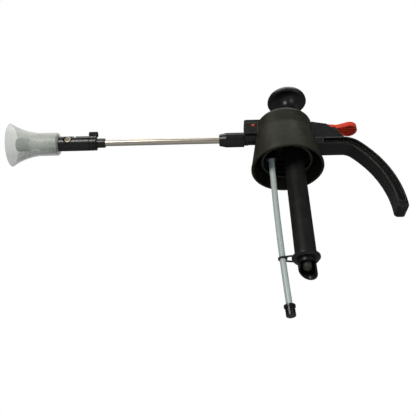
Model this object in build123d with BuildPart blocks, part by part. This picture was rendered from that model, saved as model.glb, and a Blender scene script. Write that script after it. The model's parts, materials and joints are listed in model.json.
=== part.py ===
from build123d import *
from math import cos, pi, radians, sin, sqrt
import os

# Hand-pumped pressure sprayer head: a screw cap with a piston air pump, a thumb valve and a lance.
# Millimetres. +Z is the pump and neck axis, up. The lance points to -X and the handle to +X.
# The origin is the centre of the neck thread's mouth.

# ---- driving dimensions ----
# neck thread and skirt
thread_radius = 29.25
thread_length = 27.0
collar_wall = 2.0
skirt_radius = 44.25
skirt_drop = 11.0
skirt_wall = 2.6
bead_height = 2.6
bead_depth = 0.7
ceiling_thickness = 3.0
gasket_width = 4.5
gasket_thickness = 1.8
window_corner = 1.5
hollow_flare = 1.2

# dome on top of the skirt
crease_radius = 36.0
crease_rise = 7.0
crease_shift = 0.1
dome_radius = 34.6
dome_rise = 32.0
dome_shift = 1.1
dome_edge = 8.0
hollow_edge = 5.0
crease_round = 30.0
roof_thickness = 3.0

# pump
pump_x = 8.8
oring_section = 2.4
oring_round = 0.7
barrel_radius = 12.15
barrel_wall = 1.9
barrel_reach = 165.0
barrel_flange_radius = 15.2
barrel_flange_thickness = 3.0
rod_radius = 5.0
bush_flange_radius = 13.0
bush_flange_thickness = 2.5
bush_depth = 20.0
bush_bore_clearance = 0.06
piston_clearance = 0.06
piston_length = 13.0
piston_gap = 12.0
nut_thickness = 5.0
neck_radius = 9.6
neck_length = 20.9
knob_radius = 25.3
knob_rim = 3.2
knob_flare = 10.5
knob_crown = 13.0
rest_gap = 0.3
bumper_thickness = 2.2

# valve at the barrel's foot
clip_ring_radius = 16.0
clip_ring_height = 4.7
clip_plate = 1.7
clip_band = 1.4
loop_radius = 5.1
hood_radius = 10.2
hood_wall = 1.8
hood_plate = 2.5
hood_length = 20.0
hood_middle = 12.5
hood_solid_height = 2.9
hood_cut_y = -3.5
hood_slant = (0.42, 0.42, 1)
hood_lip = 1.6
hood_plug = 3.0
hood_plug_wall = 2.0
seat_ledge = 0.8
valve_stem_hole = 1.5
air_hole_circle = 3.6
air_holes = 6
air_hole_radius = 0.8
finger_radius = 5.2
finger_length = 11.5
finger_neck = 1.45

# dip tube and strainer
dip_x = -18.7
dip_radius = 3.5
dip_wall = 1.0
dip_straight_end = -41.0
dip_bend = 3000.0
dip_end = -192.6
strainer_radius = 5.3
strainer_flange_radius = 6.3
strainer_flange = 2.4
strainer_length = 12.4
strainer_wall = 1.1
strainer_slots = 8
strainer_slot_width = 1.7
strainer_floor = 1.4
strainer_hollow_start = 3.2
strainer_slot_start = 4.0

# thumb valve
socket_radius = 5.75
socket_drop = 23.8
valve_radius = 7.5
valve_top = 46.0
chamber_radius = 4.5
seat_z = 33.0
stem_radius = 1.6
stem_clearance = 0.1
valve_head_radius = 3.7
valve_head_thickness = 2.4
seat_washer_thickness = 1.5
spring_turns = 5
spring_wire = 0.35
tube_socket_depth = 12.6
chamber_step = 3.0
valve_shoulder = 0.7
boss_radius = 6.0
port_radius = 2.5

# front valve box and lance socket
lance_z = 37.0
box_front = -50.0
box_half_width = 10.0
box_wall = 2.4
box_bottom = 39.0
box_top = 62.5
lid_height = 5.5
box_corner = 2.6
pin_x = -38.9
pin_z = 52.7
pin_radius = 1.75
tube_socket_radius = 7.0
tube_socket_collar = 7.5
spigot_radius = 6.4
spigot_length = 12.0

# thumb lever
lever_half_width = 4.6
lever_bottom = 49.4
lever_thickness = 5.6
lever_ring_clearance = 2.0
lever_ring_wall = 3.4
pad_x = 83.0
pad_z = 47.9
pad_radius = 10.3
pad_thickness = 6.3
pad_rim = 2.0
pad_ribs = 3
pad_rib_pitch = 4.2
pad_rib_width = 1.1
pad_edge = 1.6
pad_recess = 2.4
pad_taper_x = 66.0
pad_taper_rise = 1.2
pad_neck_x = 79.0
lever_straight_end = 36.0
lever_swell_start = 30.0
lever_swell = 1.6
pad_neck_rise = 2.4
eye_radius = 4.1

# handle
handle_top = 29.7
handle_depth = 12.8
handle_half_width = 11.2
handle_tip_round = 7.5
handle_tip_drop = 0.4
handle_start = 30.0
handle_arc = 133.3
handle_bend = 28.0
handle_arc_x = -1.7
handle_end = -74.4
handle_edge = 1.6
channel_lip = 2.4
channel_depth = 5.0
channel_start = 46.0
channel_end = -66.0
block_half_width = 9.0
block_end = 73.0
block_top_drop = 2.0
block_shoulders = ((36.0, 2.0), (54.0, 6.0), (59.0, 11.5), (65.0, 15.5), (69.5, 22.5))
block_root = 2.0
block_toe = 1.4
slot_end = 90.0
slot_floor = 40.0
lever_slot_clearance = 0.9

# handle screws
screw_offset = 6.0
screw_radius = 1.5
screw_length = 14.0
screw_head_radius = 2.6
screw_head = 2.2
screw_slot_length = 3.2
screw_slot_width = 0.8
screw_slot_depth = 1.2
screw_clearance_run = 10.0
drain_hole_radius = 1.3
drain_hole_depth = 5.0

# lance
tube_radius = 4.0
tube_wall = 0.6
lance_nut_start = -50.4
lance_nut_length = 31.6
lance_nut_radius = 9.2
lance_nut_nose_radius = 7.4
lance_nut_nose = 9.0
nut_flutes = 16
nut_flute_radius = 0.95
nut_flute_offset = 0.45
tube_inner_end = -36.0
collet_start = -225.7
collet_length = 10.8
collet_radius = 5.95

# tilting joint
joint_radius = 9.25
joint_ring_depth = 0.7
pivot_x = -272.0
lap_gap = 0.3
joint_front_end = -290.0
pivot_head_radius = 4.4
pivot_recess_radius = 5.7
pivot_shank_radius = 2.2
wing_x = -242.0
wing_length = 11.5
wing_thickness = 4.0
wing_top = 17.6
wing_shank_radius = 2.2

# nozzle and shroud
stem_tube_radius = 6.4
stem_tube_end = -309.0
stem_ribs = 8
stem_rib_height = 0.9
stem_rib_width = 1.1
stem_spigot_radius = 4.6
socket_floor = -286.0
neck_tube_radius = 5.4
nozzle_front = -338.0
nozzle_length = 16.3
nozzle_radius = 8.25
orifice_radius = 0.6
nozzle_flutes = 18
nozzle_flute_radius = 0.7
nozzle_flute_offset = 0.35
nozzle_face_length = 4.5
shroud_rear = -284.0
shroud_sleeve_end = -309.0
shroud_mouth = -344.0
shroud_sleeve_radius = 14.5
shroud_mouth_radius = 27.0
shroud_wall = 1.6
flare_rise = 4.3
hub_length = 5.2

# fits
running_fit = 0.06
seat_fit = 0.03
moving_gap = 0.3

# ---- derived heights ----
skirt_bottom = -skirt_drop
ceiling_under = thread_length
ceiling_top = ceiling_under + ceiling_thickness
crease_z = ceiling_top + crease_rise
roof_top = ceiling_top + dome_rise
roof_under = roof_top - roof_thickness
barrel_bore = barrel_radius - barrel_wall
barrel_bottom = ceiling_under - barrel_reach
bush_top = roof_top + bush_flange_thickness
knob_neck_bottom = bush_top + rest_gap + bumper_thickness
knob_rim_z = knob_neck_bottom + neck_length + knob_flare
rod_bottom = barrel_bottom + piston_gap + nut_thickness + piston_length
lever_top = lever_bottom + lever_thickness
screw_seat = crease_shift + crease_radius - skirt_wall - 0.8
screw_z = crease_z - 2.3


def save(piece, label):
    piece.part.label = label
    export_step(piece.part, f"parts/{label}.step")


os.makedirs("parts", exist_ok=True)

# ---- cap body: skirt and dome in one shell; the threaded insert carries the ceiling ----
with BuildPart() as cap_envelope:
    with BuildSketch(Plane.XY.offset(skirt_bottom)):
        Circle(skirt_radius)
    with BuildSketch(Plane.XY.offset(crease_z)):
        with Locations((crease_shift, 0)):
            Circle(crease_radius)
    loft(ruled=True)
    with BuildSketch(Plane.XY.offset(crease_z)):
        with Locations((crease_shift, 0)):
            Circle(crease_radius)
    with BuildSketch(Plane.XY.offset(roof_top)):
        with Locations((dome_shift, 0)):
            Circle(dome_radius)
    loft(ruled=True)
    fillet(cap_envelope.edges().group_by(Axis.Z)[-1], radius=dome_edge)
    crease = cap_envelope.edges().filter_by(GeomType.CIRCLE).sort_by_distance((0, 0, crease_z))[0]
    fillet(crease, radius=crease_round)

with BuildPart() as dome_hollow:
    with BuildSketch(Plane.XY.offset(ceiling_top)):
        with Locations((crease_shift, 0)):
            Circle(crease_radius - skirt_wall)
    with BuildSketch(Plane.XY.offset(roof_under)):
        with Locations((dome_shift, 0)):
            Circle(dome_radius - skirt_wall)
    loft(ruled=True)
    fillet(dome_hollow.edges().group_by(Axis.Z)[-1], radius=hollow_edge)

insert_seat_radius = crease_radius - skirt_wall + hollow_flare
with BuildPart() as skirt_hollow:
    with BuildSketch(Plane.XY.offset(skirt_bottom)):
        Circle(skirt_radius - skirt_wall)
    with BuildSketch(Plane.XY.offset(ceiling_under)):
        with Locations((crease_shift, 0)):
            Circle(insert_seat_radius)
    loft(ruled=True)
    with BuildSketch(Plane.XY.offset(ceiling_under)):
        with Locations((crease_shift, 0)):
            Circle(insert_seat_radius)
    extrude(amount=ceiling_thickness)

with BuildPart() as cap_body:
    add(cap_envelope.part)
    add(dome_hollow.part, mode=Mode.SUBTRACT)
    add(skirt_hollow.part, mode=Mode.SUBTRACT)
    with BuildSketch(Plane.XZ):
        with BuildLine():
            Polyline(
                (skirt_radius - skirt_wall, skirt_bottom),
                (skirt_radius, skirt_bottom),
                (skirt_radius, skirt_bottom + bead_height - bead_depth),
                (skirt_radius - bead_depth, skirt_bottom + bead_height),
                (skirt_radius - skirt_wall, skirt_bottom + bead_height),
                close=True,
            )
        make_face()
    revolve(axis=Axis.Z)
    # roof hole for the guide bush
    with BuildSketch(Plane.XY.offset(roof_under - 1)):
        with Locations((pump_x, 0)):
            Circle(barrel_bore)
    extrude(amount=roof_thickness + 2, mode=Mode.SUBTRACT)
    # front wall: hole for the lance socket and a window for the lever
    with BuildSketch(Plane.YZ.offset(dip_x)):
        with Locations((0, lance_z)):
            Circle(tube_socket_radius + seat_fit)
    extrude(amount=-crease_radius, mode=Mode.SUBTRACT)
    with BuildSketch(Plane.YZ.offset(dip_x)):
        with Locations((0, (lever_bottom + roof_under) / 2 - 1)):
            RectangleRounded(2 * (box_half_width - box_wall), roof_under - lever_bottom, window_corner)
    extrude(amount=-crease_radius, mode=Mode.SUBTRACT)
    # rear wall: a window for the lever's bar
    with BuildSketch(Plane.YZ.offset(pump_x + barrel_flange_radius)):
        with Locations((0, (slot_floor + roof_under) / 2)):
            rear_half = lever_half_width + lever_slot_clearance
            RectangleRounded(2 * rear_half, roof_under - slot_floor, window_corner)
    extrude(amount=dome_radius, mode=Mode.SUBTRACT)
    # spot faces and holes for the handle screws
    with BuildSketch(Plane.YZ.offset(screw_seat)):
        with Locations((screw_offset, screw_z), (-screw_offset, screw_z)):
            Circle(screw_head_radius + running_fit)
    extrude(amount=-screw_clearance_run, mode=Mode.SUBTRACT)
    with BuildSketch(Plane.YZ.offset(screw_seat - 1)):
        with Locations((screw_offset, screw_z), (-screw_offset, screw_z)):
            Circle(screw_radius + running_fit)
    extrude(amount=screw_clearance_run, mode=Mode.SUBTRACT)
save(cap_body, "cap_body")

with BuildPart() as neck_insert:
    with BuildSketch(Plane.XY.offset(ceiling_under)):
        with Locations((crease_shift, 0)):
            Circle(insert_seat_radius - seat_fit)
    extrude(amount=ceiling_thickness)
    with BuildSketch(Plane.XY):
        Circle(thread_radius + collar_wall)
    extrude(amount=thread_length)
    with BuildSketch(Plane.XY):
        Circle(thread_radius)
    extrude(amount=thread_length, mode=Mode.SUBTRACT)
    with BuildSketch(Plane.XY.offset(ceiling_under)):
        with Locations((pump_x, 0)):
            Circle(barrel_radius + seat_fit)
        with Locations((dip_x, 0)):
            Circle(socket_radius + seat_fit)
    extrude(amount=ceiling_thickness, mode=Mode.SUBTRACT)
save(neck_insert, "neck_insert")

with BuildPart() as neck_gasket:
    with BuildSketch(Plane.XY.offset(ceiling_under)):
        Circle(thread_radius - seat_fit)
        Circle(thread_radius - gasket_width, mode=Mode.SUBTRACT)
    extrude(amount=-gasket_thickness)
save(neck_gasket, "neck_gasket")

# ---- handle: a flat-sided bar that runs out, bends and hangs down ----
# The outer edge is a level line, a bend and a long arc about a centre level with the tip.
bend_drop = handle_top - handle_bend - handle_end
bend_x = handle_arc_x + sqrt((handle_arc - handle_bend) ** 2 - bend_drop ** 2)
bend_center = Vector(bend_x, handle_top - handle_bend)
arc_center = Vector(handle_arc_x, handle_end)
bend_direction = (bend_center - arc_center).normalized()
tip_direction = Vector(1, 0)


def bar_outline(inset, end_z):
    """Closed outline of the bar in the XZ plane, inset from its edges, ending at end_z."""
    outer = handle_arc - inset
    inner = handle_arc - handle_depth + inset
    top = handle_top - inset
    under = handle_top - handle_depth + inset
    end_angle = (end_z - handle_end) / handle_arc
    tip = Vector(cos(end_angle), sin(end_angle))
    mid_angle = (end_angle + radians(bend_direction.get_angle(tip_direction))) / 2
    mid = Vector(cos(mid_angle), sin(mid_angle))
    quarter = (bend_direction + Vector(0, 1)).normalized()
    start = channel_start if inset > 0 else handle_start
    outer_bend = handle_bend - inset
    inner_bend = handle_bend - handle_depth + inset
    tip_middle = arc_center + tip * ((outer + inner) / 2)
    round_middle = tip_middle + Vector(tip.Y, -tip.X) * ((outer - inner) / 2)
    Line((start, top), (bend_x, top))
    ThreePointArc(
        (bend_x, top),
        bend_center + quarter * outer_bend,
        bend_center + bend_direction * outer_bend,
    )
    ThreePointArc(
        arc_center + bend_direction * outer,
        arc_center + mid * outer,
        arc_center + tip * outer,
    )
    ThreePointArc(arc_center + tip * outer, round_middle, arc_center + tip * inner)
    ThreePointArc(
        arc_center + tip * inner,
        arc_center + mid * inner,
        arc_center + bend_direction * inner,
    )
    ThreePointArc(
        bend_center + bend_direction * inner_bend,
        bend_center + quarter * inner_bend,
        (bend_x, under),
    )
    Line((bend_x, under), (start, under))
    Line((start, under), (start, top))


with BuildPart() as handle_grip:
    with BuildSketch(Plane.XZ):
        with BuildLine():
            bar_outline(0, handle_end)
        make_face()
    extrude(amount=handle_half_width, both=True)
    # the tip is rounded across its width too
    tip_bottom = handle_end - handle_depth / 2
    round_bottom = tip_bottom - handle_tip_drop
    with BuildSketch(Plane.YZ) as width_outline:
        with Locations((0, (round_bottom + handle_top) / 2)):
            Rectangle(2 * handle_half_width, handle_top - round_bottom)
        fillet(width_outline.vertices().group_by(Axis.Y)[0], radius=handle_tip_round)
    extrude(amount=2 * handle_arc, mode=Mode.INTERSECT)
    outer_edges = handle_grip.edges().filter_by(Plane.XZ).filter_by_position(
        Axis.X, handle_start + 1, 2 * handle_arc
    )
    fillet(outer_edges, radius=handle_edge)
    for side in (1, -1):
        with BuildSketch(Plane.XZ.offset(side * handle_half_width)):
            with BuildLine():
                bar_outline(channel_lip, channel_end)
            make_face()
        extrude(amount=-side * channel_depth, mode=Mode.SUBTRACT)
    # lever block: two cheeks with a slot between them
    with BuildSketch(Plane.XZ):
        with BuildLine():
            Polyline(
                (handle_start, handle_top - block_root),
                (handle_start, roof_under - block_top_drop),
                *[(along, roof_under - drop) for along, drop in block_shoulders],
                (block_end, handle_top + block_toe),
                (block_end + 2 * block_toe, handle_top - block_root),
                close=True,
            )
        make_face()
    extrude(amount=block_half_width, both=True)
    with BuildSketch(Plane.XY.offset(slot_floor)):
        with Locations(((handle_start + slot_end) / 2, 0)):
            Rectangle(slot_end - handle_start, 2 * (lever_half_width + lever_slot_clearance))
    extrude(amount=dome_rise, mode=Mode.SUBTRACT)
    # saddle against the cap, so the bar's root follows the cone and the dome
    add(cap_envelope.part, mode=Mode.SUBTRACT)
    # screw holes in the root and a small drain hole up into the tip
    with BuildSketch(Plane.YZ.offset(screw_seat)):
        with Locations((screw_offset, screw_z), (-screw_offset, screw_z)):
            Circle(screw_radius + seat_fit)
    extrude(amount=screw_length + 1, mode=Mode.SUBTRACT)
    with BuildSketch(Plane.XY.offset(tip_bottom)):
        with Locations((handle_arc_x + handle_arc - handle_depth / 2, 0)):
            Circle(drain_hole_radius)
    extrude(amount=drain_hole_depth, mode=Mode.SUBTRACT)
save(handle_grip, "handle_grip")

# two self-tapping screws hold the handle's root from inside the dome
with BuildPart() as handle_screws:
    with BuildSketch(Plane.YZ.offset(screw_seat)):
        with Locations((screw_offset, screw_z), (-screw_offset, screw_z)):
            Circle(screw_head_radius)
    extrude(amount=-screw_head)
    with BuildSketch(Plane.YZ.offset(screw_seat)):
        with Locations((screw_offset, screw_z), (-screw_offset, screw_z)):
            Circle(screw_radius)
    extrude(amount=screw_length)
    with BuildSketch(Plane.YZ.offset(screw_seat - screw_head)):
        with Locations((screw_offset, screw_z), (-screw_offset, screw_z)):
            Rectangle(screw_slot_length, screw_slot_width)
            Rectangle(screw_slot_width, screw_slot_length)
    extrude(amount=screw_slot_depth, mode=Mode.SUBTRACT)
save(handle_screws, "handle_screws")


# ---- turned pieces ----
pump_plane = Plane(origin=(pump_x, 0, 0), x_dir=(1, 0, 0), z_dir=(0, -1, 0))
pump_axis = Axis((pump_x, 0, 0), (0, 0, 1))
dip_plane = Plane(origin=(dip_x, 0, 0), x_dir=(1, 0, 0), z_dir=(0, -1, 0))
dip_axis = Axis((dip_x, 0, 0), (0, 0, 1))
lance_plane = Plane(origin=(0, 0, lance_z), x_dir=(1, 0, 0), z_dir=(0, -1, 0))
lance_axis = Axis((0, 0, lance_z), (1, 0, 0))


def turn(plane, axis, *outline, mode=Mode.ADD):
    """Revolve a closed outline drawn on the plane about the axis."""
    with BuildSketch(plane) as section:
        with BuildLine():
            Polyline(*outline, close=True)
        make_face()
    revolve(section.sketch, axis=axis, mode=mode)


def turn_on_pump(*outline, mode=Mode.ADD):
    """Outline points are radius and height."""
    turn(pump_plane, pump_axis, *outline, mode=mode)


def turn_on_dip(*outline, mode=Mode.ADD):
    """Outline points are radius and height."""
    turn(dip_plane, dip_axis, *outline, mode=mode)


def turn_on_lance(*outline, mode=Mode.ADD):
    """Outline points are place along X and radius."""
    turn(lance_plane, lance_axis, *outline, mode=mode)


# ---- air pump ----
flange_bottom = roof_under - barrel_flange_thickness
with BuildPart() as pump_barrel:
    turn_on_pump(
        (barrel_bore, barrel_bottom),
        (barrel_radius, barrel_bottom),
        (barrel_radius, flange_bottom),
        (barrel_flange_radius, flange_bottom),
        (barrel_flange_radius, roof_under),
        (barrel_bore, roof_under),
    )
save(pump_barrel, "pump_barrel")

with BuildPart() as barrel_oring:
    turn_on_pump(
        (barrel_radius + seat_fit, ceiling_top),
        (barrel_radius + oring_section, ceiling_top),
        (barrel_radius + oring_section, ceiling_top + oring_section),
        (barrel_radius + seat_fit, ceiling_top + oring_section),
    )
    fillet(barrel_oring.edges().filter_by(GeomType.CIRCLE), radius=oring_round)
save(barrel_oring, "barrel_oring")

bush_bore = rod_radius + bush_bore_clearance
bush_bottom = roof_top - bush_depth
wiper_radius = rod_radius + oring_section
wiper_height = 2.6
with BuildPart() as guide_bush:
    turn_on_pump(
        (bush_bore, bush_bottom),
        (barrel_bore - seat_fit, bush_bottom),
        (barrel_bore - seat_fit, roof_top),
        (bush_flange_radius, roof_top),
        (bush_flange_radius, bush_top - 0.8),
        (bush_flange_radius - 0.8, bush_top),
        (bush_bore, bush_top),
    )
    turn_on_pump(
        (0, bush_bottom),
        (wiper_radius, bush_bottom),
        (wiper_radius, bush_bottom + wiper_height),
        (0, bush_bottom + wiper_height),
        mode=Mode.SUBTRACT,
    )
save(guide_bush, "guide_bush")

with BuildPart() as rod_wiper:
    turn_on_pump(
        (rod_radius + running_fit, bush_bottom),
        (wiper_radius - seat_fit, bush_bottom),
        (wiper_radius - seat_fit, bush_bottom + wiper_height),
        (rod_radius + running_fit, bush_bottom + wiper_height),
    )
save(rod_wiper, "rod_wiper")

piston_bottom = barrel_bottom + piston_gap + nut_thickness
piston_top = piston_bottom + piston_length
stub_radius = 3.0
rod_top = knob_rim_z - 4.0
with BuildPart() as piston_rod:
    turn_on_pump(
        (0, barrel_bottom + piston_gap),
        (stub_radius, barrel_bottom + piston_gap),
        (stub_radius, piston_top),
        (rod_radius, piston_top),
        (rod_radius, rod_top),
        (0, rod_top),
    )
save(piston_rod, "piston_rod")

groove_bottom = piston_bottom + 3.0
groove_top = piston_top - 3.5
groove_radius = 7.2
piston_radius = barrel_bore - 0.5
with BuildPart() as piston_head:
    turn_on_pump(
        (stub_radius + seat_fit, piston_bottom),
        (piston_radius, piston_bottom),
        (piston_radius, groove_bottom),
        (groove_radius, groove_bottom),
        (groove_radius, groove_top),
        (piston_radius, groove_top),
        (piston_radius, piston_top),
        (stub_radius + seat_fit, piston_top),
    )
save(piston_head, "piston_head")

cup_radius = barrel_bore - piston_clearance
with BuildPart() as piston_cup:
    turn_on_pump(
        (groove_radius + seat_fit, groove_bottom + seat_fit),
        (cup_radius - 0.8, groove_bottom + seat_fit),
        (cup_radius, groove_bottom + 1.2),
        (cup_radius, groove_top - 1.2),
        (cup_radius - 0.8, groove_top - seat_fit),
        (groove_radius + seat_fit, groove_top - seat_fit),
    )
save(piston_cup, "piston_cup")

with BuildPart() as piston_nut:
    with BuildSketch(Plane.XY.offset(barrel_bottom + piston_gap)):
        with Locations((pump_x, 0)):
            RegularPolygon(rod_radius, 6, major_radius=False)
            Circle(stub_radius + seat_fit, mode=Mode.SUBTRACT)
    extrude(amount=nut_thickness)
save(piston_nut, "piston_nut")

neck_top = knob_neck_bottom + neck_length
rim_top_z = knob_rim_z + knob_rim / 2
under_rim = 1.6
with BuildPart() as pump_knob:
    with BuildSketch(pump_plane):
        with BuildLine():
            underside_radius = knob_radius - under_rim
            hollow_middle = (
                underside_radius - (underside_radius - neck_radius) * sin(pi / 4),
                neck_top + (knob_rim_z - neck_top) * sin(pi / 4),
            )
            Line((rod_radius + seat_fit, knob_neck_bottom), (neck_radius, knob_neck_bottom))
            Line((neck_radius, knob_neck_bottom), (neck_radius, neck_top))
            ThreePointArc((neck_radius, neck_top), hollow_middle, (underside_radius, knob_rim_z))
            Line((underside_radius, knob_rim_z), (knob_radius, rim_top_z))
            Spline(
                (knob_radius, rim_top_z),
                (knob_radius * cos(pi / 4), rim_top_z + knob_crown * sin(pi / 4)),
                (0, rim_top_z + knob_crown),
                tangents=((0, 1), (-1, 0)),
            )
            Line((0, rim_top_z + knob_crown), (0, rod_top))
            Line((0, rod_top), (rod_radius + seat_fit, rod_top))
            Line((rod_radius + seat_fit, rod_top), (rod_radius + seat_fit, knob_neck_bottom))
        make_face()
    revolve(axis=pump_axis)
save(pump_knob, "pump_knob")

with BuildPart() as rod_bumper:
    turn_on_pump(
        (rod_radius + seat_fit, bush_top + rest_gap),
        (neck_radius - 1.0, bush_top + rest_gap),
        (neck_radius - 1.0, knob_neck_bottom),
        (rod_radius + seat_fit, knob_neck_bottom),
    )
save(rod_bumper, "rod_bumper")

# ---- foot of the barrel: clip, air valve and its hood ----
clip_top = barrel_bottom + 3.7
clip_bottom = clip_top - clip_ring_height
plate_z = (clip_top + clip_bottom) / 2
dip_drop = dip_straight_end - plate_z
loop_x = dip_x + dip_drop ** 2 / (2 * dip_bend)
loop_hole = dip_radius + 0.15
band_start = loop_x + loop_hole + clip_band
ring_left = pump_x - barrel_radius - 2.4
with BuildPart() as tube_clip:
    turn_on_pump(
        (barrel_radius + seat_fit, clip_bottom),
        (clip_ring_radius - 2.0, clip_bottom),
        (clip_ring_radius, clip_bottom + 2.6),
        (clip_ring_radius, clip_top - 0.6),
        (clip_ring_radius - 0.6, clip_top),
        (barrel_radius + seat_fit, clip_top),
    )
    with BuildSketch(Plane.XY.offset(plate_z - clip_plate / 2)):
        with Locations((loop_x, 0)):
            Circle(loop_radius)
        with BuildLine():
            Polyline(
                (loop_x, -loop_radius + 0.1),
                (pump_x, -loop_radius - 4.2),
                (pump_x, loop_radius + 4.2),
                (loop_x, loop_radius - 0.1),
                close=True,
            )
        make_face()
        with Locations((loop_x, 0)):
            Circle(loop_hole, mode=Mode.SUBTRACT)
        with BuildLine():
            Polyline(
                (band_start, -loop_radius + 0.6),
                (ring_left, -loop_radius - 0.7),
                (ring_left, loop_radius + 0.7),
                (band_start, loop_radius - 0.6),
                close=True,
            )
        make_face(mode=Mode.SUBTRACT)
        with Locations((pump_x, 0)):
            Circle(barrel_radius + seat_fit, mode=Mode.SUBTRACT)
    extrude(amount=clip_plate)
save(tube_clip, "tube_clip")

hood_top = barrel_bottom
seat_disc_radius = barrel_bore - hood_plug_wall
hood_seat = hood_top - hood_plate
with BuildPart() as valve_hood:
    turn_on_pump(
        (hood_radius - hood_wall, hood_seat),
        (hood_radius - hood_wall, hood_top - hood_plate - hood_length),
        (hood_radius, hood_top - hood_plate - hood_length),
        (hood_radius, hood_top - hood_lip),
        (barrel_radius, hood_top - hood_lip),
        (barrel_radius, hood_top),
        (barrel_bore - seat_fit, hood_top),
        (barrel_bore - seat_fit, hood_top + hood_plug),
        (seat_disc_radius, hood_top + hood_plug),
        (seat_disc_radius, hood_seat + seat_ledge),
        (hood_radius - hood_wall - seat_ledge, hood_seat + seat_ledge),
        (hood_radius - hood_wall - seat_ledge, hood_seat),
    )
    # the near side is cut away and the rest is cut off on a slant
    with BuildSketch(Plane.XY.offset(hood_seat - hood_solid_height)):
        with Locations((pump_x, hood_cut_y - hood_radius)):
            Rectangle(3 * hood_radius, 2 * hood_radius)
    extrude(amount=-2 * hood_length, mode=Mode.SUBTRACT)
    slant = Plane(origin=(pump_x, 0, hood_seat - hood_middle), x_dir=(1, 0, 0), z_dir=hood_slant)
    with BuildSketch(slant):
        Rectangle(6 * hood_radius, 6 * hood_radius)
    extrude(amount=-2 * hood_length, mode=Mode.SUBTRACT)
save(valve_hood, "valve_hood")

with BuildPart() as valve_seat:
    with BuildSketch(Plane.XY.offset(hood_seat + seat_ledge)):
        with Locations((pump_x, 0)):
            Circle(seat_disc_radius - seat_fit)
            Circle(valve_stem_hole, mode=Mode.SUBTRACT)
            with PolarLocations(air_hole_circle, air_holes):
                Circle(air_hole_radius, mode=Mode.SUBTRACT)
    extrude(amount=hood_top - hood_seat - seat_ledge)
save(valve_seat, "valve_seat")

finger_center = hood_seat - finger_length + finger_radius
with BuildPart() as check_valve:
    with BuildSketch(pump_plane):
        with BuildLine():
            Polyline(
                (0, hood_top + 1.6),
                (2.6, hood_top + 1.0),
                (3.0, hood_top + 0.02),
                (finger_neck, hood_top + 0.02),
                (finger_neck, hood_seat + seat_ledge - 0.02),
                (finger_radius, hood_seat + seat_ledge - 0.02),
                (finger_radius, finger_center),
            )
            ThreePointArc(
                (finger_radius, finger_center),
                (finger_radius * cos(pi / 4), finger_center - finger_radius * sin(pi / 4)),
                (0, finger_center - finger_radius),
            )
            Line((0, finger_center - finger_radius), (0, hood_top + 1.6))
        make_face()
    revolve(axis=pump_axis)
save(check_valve, "check_valve")

# ---- dip tube and strainer ----
bend_angle = (dip_straight_end - dip_end) / dip_bend
tube_seat = ceiling_under - socket_drop + tube_socket_depth
dip_tip = Vector(dip_x + dip_bend * (1 - cos(bend_angle)), 0, dip_straight_end - dip_bend * sin(bend_angle))
dip_middle = Vector(
    dip_x + dip_bend * (1 - cos(bend_angle / 2)), 0, dip_straight_end - dip_bend * sin(bend_angle / 2)
)
dip_direction = Vector(sin(bend_angle), 0, -cos(bend_angle))
with BuildPart() as dip_tube:
    with BuildLine() as dip_path:
        Line((dip_x, 0, tube_seat), (dip_x, 0, dip_straight_end))
        ThreePointArc((dip_x, 0, dip_straight_end), dip_middle, dip_tip)
    with BuildSketch(Plane(origin=(dip_x, 0, tube_seat), x_dir=(1, 0, 0), z_dir=(0, 0, -1))):
        Circle(dip_radius)
        Circle(dip_radius - dip_wall, mode=Mode.SUBTRACT)
    sweep(path=dip_path.line)
save(dip_tube, "dip_tube")

# The strainer hangs on the tube's end, square to it. Its own heights run down the tube.
strainer_plane = Plane(
    origin=dip_tip, x_dir=(0, 1, 0), z_dir=(dip_direction.X, 0, dip_direction.Z)
)
with BuildPart() as strainer_body:
    with BuildSketch(strainer_plane):
        Circle(strainer_radius)
    extrude(amount=strainer_length)
    with BuildSketch(strainer_plane):
        Circle(strainer_flange_radius)
    extrude(amount=strainer_flange)
    fillet(strainer_body.edges().filter_by(GeomType.CIRCLE).sort_by_distance(dip_tip)[-1], radius=0.8)
    with BuildSketch(strainer_plane):
        Circle(dip_radius - dip_wall)
    extrude(amount=strainer_length - strainer_floor, mode=Mode.SUBTRACT)
    with BuildSketch(strainer_plane.offset(strainer_hollow_start)):
        Circle(strainer_radius - strainer_wall)
    extrude(amount=strainer_length - strainer_floor - strainer_hollow_start, mode=Mode.SUBTRACT)
    with BuildSketch(strainer_plane.offset(strainer_slot_start)):
        with PolarLocations(strainer_radius, strainer_slots):
            Rectangle(3 * strainer_wall, strainer_slot_width)
    extrude(amount=strainer_length - 2 * strainer_floor - strainer_slot_start, mode=Mode.SUBTRACT)
save(strainer_body, "strainer_body")

with BuildPart() as strainer_mesh:
    with BuildSketch(strainer_plane.offset(strainer_hollow_start)):
        Circle(strainer_radius - strainer_wall - seat_fit)
        Circle(strainer_radius - strainer_wall - 0.5, mode=Mode.SUBTRACT)
    extrude(amount=strainer_length - strainer_floor - strainer_hollow_start)
save(strainer_mesh, "strainer_mesh")

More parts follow.
